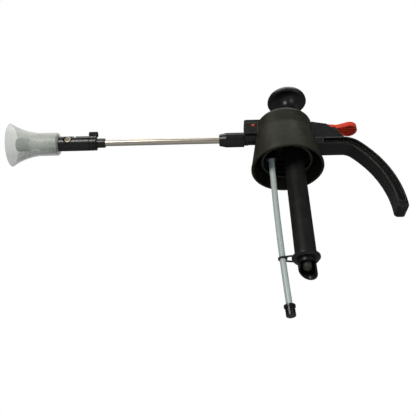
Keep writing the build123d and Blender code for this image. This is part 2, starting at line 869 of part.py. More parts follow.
# ---- thumb valve ----
socket_bottom = ceiling_under - socket_drop
chamber_bottom = tube_seat + chamber_step
insert_radius = valve_radius - 1.9
boss_end = dip_x - valve_radius - 0.8
with BuildPart() as valve_body:
    turn_on_dip(
        (0, socket_bottom),
        (socket_radius, socket_bottom),
        (socket_radius, ceiling_top),
        (valve_radius + valve_shoulder, ceiling_top),
        (valve_radius + valve_shoulder, seat_z),
        (valve_radius, seat_z),
        (valve_radius, valve_top),
        (0, valve_top),
    )
    with BuildSketch(Plane.YZ.offset(dip_x)):
        with Locations((0, lance_z)):
            Circle(boss_radius)
    extrude(amount=boss_end - dip_x)
    turn_on_dip(
        (0, socket_bottom),
        (dip_radius + seat_fit, socket_bottom),
        (dip_radius + seat_fit, tube_seat),
        (dip_radius - dip_wall, tube_seat),
        (dip_radius - dip_wall, chamber_bottom),
        (chamber_radius, chamber_bottom),
        (chamber_radius, seat_z),
        (insert_radius + seat_fit, seat_z),
        (insert_radius + seat_fit, valve_top),
        (0, valve_top),
        mode=Mode.SUBTRACT,
    )
    with BuildSketch(Plane.YZ.offset(dip_x)):
        with Locations((0, lance_z)):
            Circle(port_radius)
    extrude(amount=boss_end - dip_x, mode=Mode.SUBTRACT)
save(valve_body, "valve_body")

seat_radius = 3.0
guide_shoulder = valve_top - 5.0
oring_height = 1.6
with BuildPart() as stem_guide:
    turn_on_dip(
        (seat_radius, seat_z),
        (insert_radius, seat_z),
        (insert_radius, valve_top),
        (valve_radius, valve_top),
        (valve_radius, valve_top + 1.2),
        (stem_radius + stem_clearance, valve_top + 1.2),
        (stem_radius + stem_clearance, guide_shoulder),
        (seat_radius, guide_shoulder),
    )
    with BuildSketch(Plane.YZ.offset(dip_x)):
        with Locations((0, lance_z)):
            Circle(port_radius)
    extrude(amount=-valve_radius, mode=Mode.SUBTRACT)
save(stem_guide, "stem_guide")

with BuildPart() as stem_oring:
    turn_on_dip(
        (stem_radius + running_fit, guide_shoulder - oring_height),
        (seat_radius - seat_fit, guide_shoulder - oring_height),
        (seat_radius - seat_fit, guide_shoulder),
        (stem_radius + running_fit, guide_shoulder),
    )
save(stem_oring, "stem_oring")

washer_top = seat_z - 0.1
head_top = washer_top - seat_washer_thickness
head_bottom = head_top - valve_head_thickness
stem_top = lever_bottom - 0.12
with BuildPart() as valve_stem:
    turn_on_dip(
        (0, head_bottom),
        (valve_head_radius, head_bottom),
        (valve_head_radius, head_top),
        (stem_radius, head_top),
        (stem_radius, stem_top - 0.8),
        (stem_radius - 0.8, stem_top),
        (0, stem_top),
    )
save(valve_stem, "valve_stem")

with BuildPart() as seat_washer:
    turn_on_dip(
        (stem_radius + seat_fit, head_top),
        (valve_head_radius + 0.4, head_top),
        (valve_head_radius + 0.4, washer_top),
        (stem_radius + seat_fit, washer_top),
    )
save(seat_washer, "seat_washer")

spring_radius = valve_head_radius - spring_wire - 0.2
spring_bottom = chamber_bottom + spring_wire + 0.05
spring_top = head_bottom - spring_wire - 0.05
with BuildPart() as valve_spring:
    with BuildLine() as coil:
        Helix(
            pitch=(spring_top - spring_bottom) / spring_turns,
            height=spring_top - spring_bottom,
            radius=spring_radius,
            center=(dip_x, 0, spring_bottom),
        )
    with BuildSketch(Plane(origin=coil.line @ 0, z_dir=coil.line % 0)):
        Circle(spring_wire)
    sweep(is_frenet=True)
save(valve_spring, "valve_spring")

# ---- front valve box, its lid, the lever's pin and the lance socket ----
box_depth = -box_front - 24.0
box_middle = box_front + box_depth / 2
box_floor = lance_z + tube_socket_radius + 2.0


def box_section(height, inset):
    """Rounded rectangle of the box at a height, inset from its faces."""
    with BuildSketch(Plane.XY.offset(height)) as section:
        with Locations((box_middle, 0)):
            RectangleRounded(box_depth - 2 * inset, 2 * (box_half_width - inset), box_corner - inset / 2)
    return section.sketch


with BuildPart() as valve_box:
    extrude(box_section(box_bottom, 0), amount=box_top - lid_height - box_bottom)
    extrude(box_section(box_floor, box_wall), amount=box_top, mode=Mode.SUBTRACT)
    add(cap_envelope.part, mode=Mode.SUBTRACT)
    with BuildSketch(Plane.YZ.offset(box_front - 1)):
        with Locations((0, lance_z)):
            Circle(tube_socket_collar + seat_fit)
    extrude(amount=box_depth, mode=Mode.SUBTRACT)
    with BuildSketch(Plane.XZ.offset(-2 * box_half_width)):
        with Locations((pin_x, pin_z)):
            Circle(pin_radius + seat_fit)
    extrude(amount=4 * box_half_width, mode=Mode.SUBTRACT)
save(valve_box, "valve_box")

with BuildPart() as valve_box_lid:
    extrude(box_section(box_top - lid_height, 0), amount=lid_height)
    fillet(valve_box_lid.edges().group_by(Axis.Z)[-1], radius=1.2)
    extrude(box_section(box_top - lid_height, box_wall), amount=lid_height - box_wall, mode=Mode.SUBTRACT)
    add(cap_envelope.part, mode=Mode.SUBTRACT)
save(valve_box_lid, "valve_box_lid")

pin_length = 2 * box_half_width + 0.5
with BuildPart() as lever_pin:
    with BuildSketch(Plane.XZ.offset(-pin_length / 2)):
        with Locations((pin_x, pin_z)):
            Circle(pin_radius)
    extrude(amount=pin_length)
    chamfer(lever_pin.edges().filter_by(GeomType.CIRCLE), length=0.3)
save(lever_pin, "lever_pin")

spigot_end = box_front - spigot_length
oring_place = box_front - 2.0
oring_width = 2.4
tube_bore = tube_radius + running_fit
with BuildPart() as lance_socket:
    turn_on_lance(
        (boss_end, port_radius),
        (boss_end, tube_socket_radius),
        (box_front + 4.4, tube_socket_radius),
        (box_front + 4.0, tube_socket_collar),
        (box_front + 1.0, tube_socket_collar),
        (box_front + 0.1, tube_socket_radius),
        (box_front + 0.1, spigot_radius),
        (spigot_end, spigot_radius),
        (spigot_end, tube_bore),
        (tube_inner_end + 0.3, tube_bore),
        (tube_inner_end + 0.3, port_radius),
    )
    turn_on_lance(
        (oring_place, tube_radius),
        (oring_place, tube_radius + 1.5),
        (oring_place - oring_width, tube_radius + 1.5),
        (oring_place - oring_width, tube_radius),
        mode=Mode.SUBTRACT,
    )
save(lance_socket, "lance_socket")

with BuildPart() as lance_oring:
    turn_on_lance(
        (oring_place - 0.15, tube_radius + seat_fit),
        (oring_place - 0.15, tube_radius + 1.4),
        (oring_place - oring_width + 0.15, tube_radius + 1.4),
        (oring_place - oring_width + 0.15, tube_radius + seat_fit),
    )
save(lance_oring, "lance_oring")

# ---- thumb lever: a bar that splits into a ring round the barrel and ends in a pad ----
ring_inner = barrel_radius + lever_ring_clearance
ring_outer = ring_inner + lever_ring_wall


def pad_outline(inset):
    """A round pad that tapers back into the bar."""
    with Locations((pad_x, 0)):
        Circle(pad_radius - inset)
    taper_end = pad_taper_x + 2 * inset
    taper_half = lever_half_width - inset / 2
    shoulder_half = (pad_radius - inset) * cos(pi / 6)
    shoulder_x = pad_x - (pad_radius - inset) * sin(pi / 6)
    Polygon(
        (taper_end, -taper_half),
        (shoulder_x, -shoulder_half),
        (shoulder_x, shoulder_half),
        (taper_end, taper_half),
        align=None,
    )


with BuildPart() as thumb_lever:
    with BuildSketch(Plane.XY.offset(lever_bottom - 4)):
        with BuildLine():
            Polyline(
                (pin_x - 1, -lever_half_width),
                (pad_neck_x, -lever_half_width),
                (pad_neck_x, lever_half_width),
                (pin_x - 1, lever_half_width),
                close=True,
            )
        make_face()
        with Locations((pump_x, 0)):
            Circle(ring_outer)
            Circle(ring_inner, mode=Mode.SUBTRACT)
    extrude(amount=14)
    with BuildSketch(Plane.XZ):
        with BuildLine():
            Polyline((pin_x - 1, lever_top), (pin_x - 1, lever_bottom), (lever_straight_end, lever_bottom))
            Spline(
                (lever_straight_end, lever_bottom),
                (lever_straight_end + 20, lever_bottom + lever_swell),
                (pad_neck_x, pad_z + pad_neck_rise),
                tangents=((1, 0), (1, -0.2)),
            )
            Line((pad_neck_x, pad_z + pad_neck_rise), (pad_neck_x, pad_z + pad_thickness - 0.2))
            Spline(
                (pad_neck_x, pad_z + pad_thickness - 0.2),
                (lever_swell_start + 30, lever_top + lever_swell),
                (lever_swell_start + 10, lever_top + 1.0),
                (lever_swell_start, lever_top),
                tangents=((-1, 0.1), (-1, 0)),
            )
            Line((lever_swell_start, lever_top), (pin_x - 1, lever_top))
        make_face()
    extrude(amount=30, both=True, mode=Mode.INTERSECT)
    with BuildSketch(Plane.XZ.offset(-lever_half_width)):
        with Locations((pin_x, pin_z)):
            Circle(eye_radius)
    extrude(amount=2 * lever_half_width)
    with BuildSketch(Plane.XZ.offset(-2 * lever_half_width)):
        with Locations((pin_x, pin_z)):
            Circle(pin_radius + running_fit)
    extrude(amount=4 * lever_half_width, mode=Mode.SUBTRACT)
    with BuildSketch(Plane.XY.offset(pad_z)):
        pad_outline(0)
    extrude(amount=pad_thickness)
    with BuildSketch(Plane.XZ):
        with BuildLine():
            Polyline(
                (pad_taper_x - 1, pad_z - 1),
                (pad_taper_x - 1, pad_z + pad_taper_rise),
                (pad_x - pad_radius, pad_z),
                (pad_x - pad_radius, pad_z - 1),
                close=True,
            )
        make_face()
    extrude(amount=pad_radius, both=True, mode=Mode.SUBTRACT)
    fillet(thumb_lever.edges().group_by(Axis.Z)[-1], radius=pad_edge)
    with BuildSketch(Plane.XY.offset(pad_z - 1)):
        pad_outline(pad_rim)
        with Locations((pad_x, 0)):
            with GridLocations(1, pad_rib_pitch, 1, pad_ribs):
                Rectangle(4 * pad_radius, pad_rib_width, mode=Mode.SUBTRACT)
    extrude(amount=pad_recess + 1, mode=Mode.SUBTRACT)
save(thumb_lever, "thumb_lever")

# ---- lance: nut, olive, tube and collet ----
nut_end = lance_nut_start - lance_nut_length
nut_bore = tube_radius + 0.15
spigot_clearance = 0.15
olive_start = spigot_end - moving_gap
olive_radius = spigot_radius - 0.2
olive_length = 4.0
with BuildPart() as lance_nut:
    turn_on_lance(
        (lance_nut_start, spigot_radius + spigot_clearance),
        (lance_nut_start, lance_nut_radius - 0.5),
        (lance_nut_start - 0.5, lance_nut_radius),
        (nut_end + lance_nut_nose, lance_nut_radius),
        (nut_end + 0.6, lance_nut_nose_radius),
        (nut_end, lance_nut_nose_radius - 0.6),
        (nut_end, nut_bore),
        (olive_start - olive_length - 2.4, nut_bore),
        (olive_start - olive_length - moving_gap, spigot_radius + spigot_clearance),
    )
    with BuildSketch(Plane.YZ.offset(lance_nut_start)):
        with Locations((0, lance_z)):
            with PolarLocations(lance_nut_radius + nut_flute_offset, nut_flutes):
                Circle(nut_flute_radius)
    extrude(amount=nut_end + lance_nut_nose - 1.0 - lance_nut_start, mode=Mode.SUBTRACT)
save(lance_nut, "lance_nut")

with BuildPart() as lance_olive:
    turn_on_lance(
        (olive_start, tube_radius + seat_fit),
        (olive_start, olive_radius),
        (olive_start - olive_length + 1.6, olive_radius),
        (olive_start - olive_length, tube_radius + 0.6),
        (olive_start - olive_length, tube_radius + seat_fit),
    )
save(lance_olive, "lance_olive")

joint_start = collet_start - collet_length
tube_outer_end = joint_start - 15.5
with BuildPart() as lance_tube:
    turn_on_lance(
        (tube_inner_end, tube_radius - tube_wall),
        (tube_inner_end, tube_radius),
        (tube_outer_end, tube_radius),
        (tube_outer_end, tube_radius - tube_wall),
    )
save(lance_tube, "lance_tube")

with BuildPart() as tube_collet:
    turn_on_lance(
        (collet_start, tube_radius + seat_fit),
        (collet_start, collet_radius - 0.8),
        (collet_start - 0.8, collet_radius),
        (joint_start, collet_radius),
        (joint_start, tube_radius + seat_fit),
    )
save(tube_collet, "tube_collet")

# ---- tilting joint: two round bodies lapped across a pin ----
relief_radius = joint_radius + lap_gap
lap_half = lap_gap / 2
pivot_plane = Plane(origin=(pivot_x, 0, lance_z), x_dir=(1, 0, 0), z_dir=(0, -1, 0))
reach = 3 * joint_radius
recess_floor = joint_radius - 3.1
seal_outer = 5.6
seal_inner = 3.4
seal_depth = 1.6
passage_radius = 1.5
core_radius = 2.4


def lap_relief(direction):
    """Outline cleared for the other half: everything past the pin, a disc about it and a step above it."""
    with BuildSketch(pivot_plane) as relief:
        with Locations((-direction * reach / 2, 0)):
            Rectangle(reach, reach)
        Circle(relief_radius)
        with Locations((direction * relief_radius / 2, reach / 4)):
            Rectangle(relief_radius, reach / 2)
    return relief.sketch


def lap_tip(direction):
    """Corners to take off a tongue so that its end is round about the pin."""
    with BuildSketch(pivot_plane) as tip:
        with Locations((-direction * reach / 2, 0)):
            Rectangle(reach, reach)
        Circle(joint_radius, mode=Mode.SUBTRACT)
    return tip.sketch


def joint_ring(start):
    """Outline points of a shallow groove round the joint's body."""
    depth = joint_radius - joint_ring_depth
    return (start, joint_radius), (start - 0.4, depth), (start - 1.0, depth), (start - 1.4, joint_radius)


with BuildPart() as joint_body_rear:
    turn_on_lance(
        (joint_start, 0),
        (joint_start, joint_radius - 0.6),
        (joint_start - 0.6, joint_radius),
        *joint_ring(joint_start - 2.2),
        *joint_ring(joint_start - 7.4),
        (pivot_x - joint_radius, joint_radius),
        (pivot_x - joint_radius, 0),
    )
    extrude(lap_relief(1), amount=reach, dir=(0, -1, 0), mode=Mode.SUBTRACT)
    extrude(lap_tip(1), amount=reach, dir=(0, 1, 0), mode=Mode.SUBTRACT)
    # the lap face stands back by half the gap, and takes the seal's groove and the screw's hole
    extrude(lap_relief(1), amount=lap_half, dir=(0, 1, 0), mode=Mode.SUBTRACT)
    with BuildSketch(Plane.XZ.offset(-lap_half)):
        with Locations((pivot_x, lance_z)):
            Circle(seal_outer)
            Circle(seal_inner, mode=Mode.SUBTRACT)
    extrude(amount=-seal_depth, mode=Mode.SUBTRACT)
    with BuildSketch(Plane.XZ):
        with Locations((pivot_x, lance_z)):
            Circle(pivot_shank_radius + seat_fit)
    extrude(amount=-reach, mode=Mode.SUBTRACT)
    # bore for the lance tube, and a narrow passage on to the joint
    turn_on_lance(
        (joint_start, 0),
        (joint_start, tube_radius + seat_fit),
        (tube_outer_end, tube_radius + seat_fit),
        (tube_outer_end, passage_radius),
        (tube_outer_end - 6.0, passage_radius),
        (tube_outer_end - 6.0, 0),
        mode=Mode.SUBTRACT,
    )
    with BuildSketch(Plane.XY.offset(lance_z)):
        with Locations((wing_x, 0)):
            Circle(wing_shank_radius + running_fit)
    extrude(amount=reach, mode=Mode.SUBTRACT)
save(joint_body_rear, "joint_body_rear")

with BuildPart() as joint_body_front:
    turn_on_lance(
        (pivot_x + joint_radius, 0),
        (pivot_x + joint_radius, joint_radius),
        (joint_front_end + 0.6, joint_radius),
        (joint_front_end, joint_radius - 0.6),
        (joint_front_end, 0),
    )
    extrude(lap_relief(-1), amount=reach, dir=(0, 1, 0), mode=Mode.SUBTRACT)
    extrude(lap_tip(-1), amount=reach, dir=(0, -1, 0), mode=Mode.SUBTRACT)
    extrude(lap_relief(-1), amount=lap_half, dir=(0, -1, 0), mode=Mode.SUBTRACT)
    with BuildSketch(Plane.XZ):
        with Locations((pivot_x, lance_z)):
            Circle(pivot_shank_radius + running_fit)
    extrude(amount=reach, mode=Mode.SUBTRACT)
    with BuildSketch(Plane.XZ.offset(recess_floor)):
        with Locations((pivot_x, lance_z)):
            Circle(pivot_recess_radius)
    extrude(amount=reach, mode=Mode.SUBTRACT)
    # socket for the pale stem, and the passage on to the pin
    turn_on_lance(
        (pivot_x - joint_radius + 1.0, 0),
        (pivot_x - joint_radius + 1.0, passage_radius),
        (socket_floor, passage_radius),
        (socket_floor, stem_spigot_radius + seat_fit),
        (joint_front_end, stem_spigot_radius + seat_fit),
        (joint_front_end, 0),
        mode=Mode.SUBTRACT,
    )
save(joint_body_front, "joint_body_front")

head_back = recess_floor + 0.15
head_front = joint_radius - 0.6
with BuildPart() as pivot_screw:
    with BuildSketch(Plane.XZ.offset(head_back)):
        with Locations((pivot_x, lance_z)):
            Circle(pivot_head_radius)
    extrude(amount=head_front - head_back)
    fillet(pivot_screw.edges().group_by(Axis.Y)[0], radius=1.0)
    with BuildSketch(Plane.XZ.offset(head_back)):
        with Locations((pivot_x, lance_z)):
            Circle(pivot_shank_radius)
    extrude(amount=-(head_back + joint_radius - 1.2))
    with BuildSketch(Plane.XZ.offset(head_front)):
        with Locations((pivot_x, lance_z)):
            Rectangle(4.6, 1.0)
            Rectangle(1.0, 4.6)
    extrude(amount=-1.1, mode=Mode.SUBTRACT)
save(pivot_screw, "pivot_screw")

with BuildPart() as pivot_seal:
    with BuildSketch(Plane.XZ.offset(-lap_half)):
        with Locations((pivot_x, lance_z)):
            Circle(seal_outer - seat_fit)
            Circle(seal_inner + seat_fit, mode=Mode.SUBTRACT)
    extrude(amount=-seal_depth)
save(pivot_seal, "pivot_seal")

wing_bottom = lance_z + joint_radius + moving_gap + 0.5
wing_top_z = lance_z + wing_top
with BuildPart() as wing_screw:
    with BuildSketch(Plane.XY.offset(lance_z + tube_radius + 0.1)):
        with Locations((wing_x, 0)):
            Circle(wing_shank_radius)
    extrude(amount=wing_bottom - lance_z - tube_radius)
    with BuildSketch(Plane.XZ):
        with BuildLine():
            Polyline(
                (wing_x - wing_length / 2 + 3.0, wing_bottom),
                (wing_x - wing_length / 2, wing_bottom + 2.6),
                (wing_x - wing_length / 2, wing_top_z),
                (wing_x + wing_length / 2, wing_top_z),
                (wing_x + wing_length / 2, wing_bottom + 2.6),
                (wing_x + wing_length / 2 - 3.0, wing_bottom),
                close=True,
            )
        make_face()
    extrude(amount=wing_thickness / 2, both=True)
    fillet(wing_screw.edges().filter_by(Axis.Y).group_by(Axis.Z)[-1], radius=1.4)
    with BuildSketch(Plane.XY.offset(wing_bottom)):
        with Locations((wing_x, 0)):
            Circle(wing_thickness / 2 + 1.2)
    extrude(amount=2.0)
save(wing_screw, "wing_screw")

# ---- nozzle: neck, swirl core, seal, cap and the flared shroud ----
nozzle_rear = nozzle_front + nozzle_length
nozzle_bore = neck_tube_radius + 0.7
nozzle_tip = 2.8
neck_end = nozzle_front + nozzle_tip + 3.4
groove_x = nozzle_rear - 3.0
hub_end = joint_front_end - hub_length
with BuildPart() as nozzle_neck:
    turn_on_lance(
        (socket_floor - seat_fit, passage_radius),
        (socket_floor - seat_fit, stem_spigot_radius),
        (joint_front_end - seat_fit, stem_spigot_radius),
        (joint_front_end - seat_fit, stem_tube_radius),
        (stem_tube_end, stem_tube_radius),
        (stem_tube_end, neck_tube_radius),
        (nozzle_rear - 1.0, neck_tube_radius),
        (nozzle_rear - 1.0, nozzle_bore - 0.15),
        (groove_x, nozzle_bore - 0.15),
        (groove_x, nozzle_bore - 1.2),
        (groove_x - 2.0, nozzle_bore - 1.2),
        (groove_x - 2.0, nozzle_bore - 0.15),
        (neck_end, nozzle_bore - 0.15),
        (neck_end, core_radius + seat_fit),
        (neck_end + 3.0, core_radius + seat_fit),
        (neck_end + 3.0, passage_radius),
    )
    # ribs along the stem
    with BuildSketch(Plane.YZ.offset(hub_end - moving_gap)):
        with Locations((0, lance_z)):
            with PolarLocations(stem_tube_radius, stem_ribs):
                Rectangle(2 * stem_rib_height, stem_rib_width)
    extrude(amount=stem_tube_end - hub_end + moving_gap)
save(nozzle_neck, "nozzle_neck")

with BuildPart() as nozzle_oring:
    turn_on_lance(
        (groove_x - 0.1, nozzle_bore - 1.17),
        (groove_x - 0.1, nozzle_bore - running_fit),
        (groove_x - 1.9, nozzle_bore - running_fit),
        (groove_x - 1.9, nozzle_bore - 1.17),
    )
save(nozzle_oring, "nozzle_oring")

with BuildPart() as swirl_core:
    turn_on_lance(
        (neck_end + 3.0, 0),
        (neck_end + 3.0, core_radius),
        (neck_end, core_radius),
        (neck_end, nozzle_bore - 1.4),
        (neck_end - 2.4, nozzle_bore - 1.4),
        (neck_end - 2.4, 0),
    )
    # two swirl slots across the front face
    with BuildSketch(Plane.YZ.offset(neck_end - 2.4)):
        with Locations((1.2, lance_z + 2.0), (-1.2, lance_z - 2.0)):
            Rectangle(0.8, 6.0)
    extrude(amount=0.8, mode=Mode.SUBTRACT)
save(swirl_core, "swirl_core")

with BuildPart() as nozzle_cap:
    turn_on_lance(
        (nozzle_rear, nozzle_bore),
        (nozzle_rear, nozzle_radius - 0.4),
        (nozzle_rear - 0.4, nozzle_radius),
        (nozzle_front + 2.6, nozzle_radius),
        (nozzle_front + 0.8, nozzle_radius - 0.9),
        (nozzle_front, nozzle_radius - 2.8),
        (nozzle_front, 2.2),
        (nozzle_front + 0.9, orifice_radius),
        (nozzle_front + nozzle_tip, orifice_radius),
        (nozzle_front + nozzle_tip, nozzle_bore),
    )
    with BuildSketch(Plane.YZ.offset(nozzle_rear)):
        with Locations((0, lance_z)):
            with PolarLocations(nozzle_radius + nozzle_flute_offset, nozzle_flutes):
                Circle(nozzle_flute_radius)
    extrude(amount=nozzle_face_length - nozzle_length, mode=Mode.SUBTRACT)
save(nozzle_cap, "nozzle_cap")

hub_radius = joint_radius + 1.65
flare_middle = (shroud_sleeve_end * 0.46 + shroud_mouth * 0.54, shroud_sleeve_radius + flare_rise)
mouth_inner = shroud_mouth_radius - shroud_wall * 1.15
with BuildPart() as spray_shroud:
    with BuildSketch(lance_plane):
        with BuildLine():
            Line((shroud_rear, joint_radius + seat_fit), (shroud_rear, shroud_sleeve_radius - 2.4))
            RadiusArc(
                (shroud_rear, shroud_sleeve_radius - 2.4), (shroud_rear - 2.4, shroud_sleeve_radius), -2.4
            )
            Line((shroud_rear - 2.4, shroud_sleeve_radius), (shroud_sleeve_end, shroud_sleeve_radius))
            ThreePointArc(
                (shroud_sleeve_end, shroud_sleeve_radius), flare_middle, (shroud_mouth, shroud_mouth_radius)
            )
            Line((shroud_mouth, shroud_mouth_radius), (shroud_mouth, mouth_inner))
            ThreePointArc(
                (shroud_mouth, mouth_inner),
                (flare_middle[0], flare_middle[1] - shroud_wall * 1.05),
                (shroud_sleeve_end, shroud_sleeve_radius - shroud_wall),
            )
            Polyline(
                (shroud_sleeve_end, shroud_sleeve_radius - shroud_wall),
                (shroud_rear - 2.2, shroud_sleeve_radius - shroud_wall),
                (shroud_rear - 2.2, hub_radius),
                (hub_end, hub_radius),
                (hub_end, stem_tube_radius + seat_fit),
                (joint_front_end - 0.1, stem_tube_radius + seat_fit),
                (joint_front_end - 0.1, joint_radius + seat_fit),
                (shroud_rear, joint_radius + seat_fit),
            )
        make_face()
    revolve(axis=lance_axis)
save(spray_shroud, "spray_shroud")
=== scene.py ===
import json
from math import cos, radians, sin

import bpy
from mathutils import Matrix, Vector


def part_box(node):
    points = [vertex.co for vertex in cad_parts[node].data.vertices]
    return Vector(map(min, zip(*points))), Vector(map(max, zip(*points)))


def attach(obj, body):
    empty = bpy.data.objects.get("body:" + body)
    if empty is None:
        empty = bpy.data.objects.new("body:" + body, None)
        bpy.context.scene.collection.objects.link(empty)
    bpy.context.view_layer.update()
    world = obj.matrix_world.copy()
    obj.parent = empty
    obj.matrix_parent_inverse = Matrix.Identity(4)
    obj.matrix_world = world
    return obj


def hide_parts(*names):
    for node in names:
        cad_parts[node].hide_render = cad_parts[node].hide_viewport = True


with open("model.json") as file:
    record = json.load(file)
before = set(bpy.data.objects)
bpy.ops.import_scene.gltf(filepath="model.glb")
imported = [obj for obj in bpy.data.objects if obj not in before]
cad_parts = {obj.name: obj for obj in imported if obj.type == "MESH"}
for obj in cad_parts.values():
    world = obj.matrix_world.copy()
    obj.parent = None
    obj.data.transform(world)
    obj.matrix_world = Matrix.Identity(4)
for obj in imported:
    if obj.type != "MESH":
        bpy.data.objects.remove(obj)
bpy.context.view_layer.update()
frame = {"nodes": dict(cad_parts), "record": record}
nodes = frame["nodes"]
print("pieces in the model:", len(nodes))

# %% [markdown]
# # Head of a hand-pumped sprayer
# This is the part that screws on a small sprayer tank. A piston pump under the round knob
# presses air into the tank, a dip tube brings the liquid up, and a thumb valve lets it out
# through a steel lance and a nozzle in a soft flared shroud. The solids come finished from
# CAD, so most of this lesson is about what the plastics, the rubber and the metal look like,
# and about a few pieces that are easier to grow with Geometry Nodes than to draw.

# %% [markdown]
# ## Small helpers
# Colours are written as web hex values because that is how colour charts give them. Shaders
# want linear light, so one function turns hex to linear. The second adds a node with its
# settings and links, which keeps each material down to the lines that say something, and the
# third is a colour ramp.

# %% Colour and node helpers
MM = 0.001


def linear(hex_color):
    """Turns '#rrggbb' into linear red, green, blue and an alpha of 1."""
    channels = []
    for start in (1, 3, 5):
        value = int(hex_color[start:start + 2], 16) / 255
        dark = value / 12.92
        channels.append(dark if value <= 0.04045 else ((value + 0.055) / 1.055) ** 2.4)
    return (*channels, 1.0)


def add(tree, kind, inputs=None, **settings):
    """Adds a node. Settings are its properties, and inputs are values or sockets to link."""
    made = tree.nodes.new(kind)
    for name, value in settings.items():
        setattr(made, name, value)
    for name, value in (inputs or {}).items():
        socket = made.inputs[name]
        if isinstance(value, bpy.types.NodeSocket):
            tree.links.new(value, socket)
        else:
            socket.default_value = value
    return made


def ramp(tree, factor, *stops):
    """A colour ramp through (place, hex colour) stops."""
    made = add(tree, "ShaderNodeValToRGB", {"Fac": factor})
    elements = made.color_ramp.elements
    while len(elements) < len(stops):
        elements.new(0.5)
    for element, (place, color) in zip(elements, stops):
        element.position = place
        element.color = linear(color)
    return made.outputs["Color"]


print("dark olive in linear light:", [round(c, 4) for c in linear("#2b2b24")])

# %% [markdown]
# ## How a moulded surface is described
# Every moulded plastic here has the same layers of detail. Slow blotches, one to three
# centimetres wide, come from the way the melt flowed and from handling. Fine grain, up to
# about a millimetre, is the skin of the mould. Long faint scuffs come from use. The cap and
# the handle also get a painted highlight, a pale line along their sharp edges where rounded
# edges would catch the lamps. Object coordinates are in metres on these meshes, so a noise
# scale is one over the real size.

# %% Pattern helpers
BLOTCH_MM = 16.0
SCUFF_MM = 2.2
SCUFF_STRETCH = (0.12, 1.0, 0.5)
GLOSS_PATCH_MM = 7.0
# The strongest painted edge highlight, as a share of the pale scuff shade.
EDGE_HIGHLIGHT_MOST = 0.75
FLAT_MATCH = 0.97
SHARP_MATCH = 0.80


def noise(tree, place, size_mm, detail=3.0, stretch=(1, 1, 1), roughness=0.55):
    """Noise whose features are about size_mm wide, stretched along an axis where asked."""
    mapped = add(tree, "ShaderNodeMapping", {"Vector": place, "Scale": stretch}).outputs["Vector"]
    return add(tree, "ShaderNodeTexNoise", {
        "Vector": mapped, "Scale": 1 / (size_mm * MM), "Detail": detail, "Roughness": roughness,
    }).outputs["Fac"]


def spread(tree, value, low, high, start=0.3, end=0.7):
    """Maps start to end, at first the busy middle of a noise, to the range low to high."""
    limits = {"Value": value, "From Min": start, "From Max": end, "To Min": low, "To Max": high}
    return add(tree, "ShaderNodeMapRange", limits).outputs["Result"]


def relief(tree, height, strength, depth_mm):
    """A bumped normal from a pattern, depth_mm deep at full strength."""
    return add(tree, "ShaderNodeBump", {
        "Height": height, "Strength": strength, "Distance": depth_mm * MM,
    }).outputs["Normal"]


def start_material(name):
    """A new material with an empty tree; returns the material, its tree and object coordinates."""
    material = bpy.data.materials.new(name)
    material.use_nodes = True
    tree = material.node_tree
    tree.nodes.clear()
    place = add(tree, "ShaderNodeTexCoord").outputs["Object"]
    return material, tree, place


def finish_material(tree, sockets):
    """Closes a tree with a Principled shader that has the given sockets."""
    shader = add(tree, "ShaderNodeBsdfPrincipled", sockets)
    add(tree, "ShaderNodeOutputMaterial", {"Surface": shader.outputs["BSDF"]})


def edge_highlight_mask(tree, radius_mm):
    """A painted highlight mask: its most on the mesh's sharp edges and zero on faces, from a
    bevelled normal.
    """
    rounded = add(tree, "ShaderNodeBevel", {"Radius": radius_mm * MM}, samples=8).outputs["Normal"]
    straight = add(tree, "ShaderNodeNewGeometry").outputs["Normal"]
    match = add(tree, "ShaderNodeVectorMath", {0: rounded, 1: straight}, operation="DOT_PRODUCT")
    return spread(
        tree, match.outputs["Value"], 0.0, EDGE_HIGHLIGHT_MOST, start=FLAT_MATCH, end=SHARP_MATCH,
    )


def moulded(
    name, shades, rough, grain_mm, grain_depth_mm, scuff_and_edge_highlight_shade, scuff_amount, edge_mm=0.0, **sockets
):
    """A moulded plastic: blotched colour, grain as bump, and scuffs.

    With edge_mm, a painted highlight in the scuffs' pale shade runs along the sharp edges over
    about that width.
    """
    material, tree, place = start_material(name)
    blotches = noise(tree, place, BLOTCH_MM)
    color = ramp(tree, blotches, (0.32, shades[0]), (0.5, shades[1]), (0.68, shades[2]))
    scuffs = noise(tree, place, SCUFF_MM, detail=5.0, stretch=SCUFF_STRETCH)
    wear_and_edge_highlight = spread(tree, scuffs, 0.0, scuff_amount, start=0.56, end=0.72)
    # Painted highlight: sharp edges are lightened toward the pale scuff shade.
    if edge_mm:
        painted_edge_highlight = edge_highlight_mask(tree, edge_mm)
        most = add(tree, "ShaderNodeMath", {0: wear_and_edge_highlight, 1: painted_edge_highlight}, operation="MAXIMUM")
        wear_and_edge_highlight = most.outputs["Value"]
    mixed = add(tree, "ShaderNodeMix", {"Factor": wear_and_edge_highlight}, data_type="RGBA")
    tree.links.new(color, mixed.inputs["A"])
    mixed.inputs["B"].default_value = linear(scuff_and_edge_highlight_shade)
    patches = noise(tree, place, GLOSS_PATCH_MM, detail=4.0)
    gloss = spread(tree, patches, rough[0], rough[1])
    grain = noise(tree, place, grain_mm, detail=2.0)
    skin = relief(tree, grain, 0.6, grain_depth_mm)
    finish_material(tree, {
        "Base Color": mixed.outputs["Result"], "Roughness": gloss, "Normal": skin, **sockets,
    })
    return material
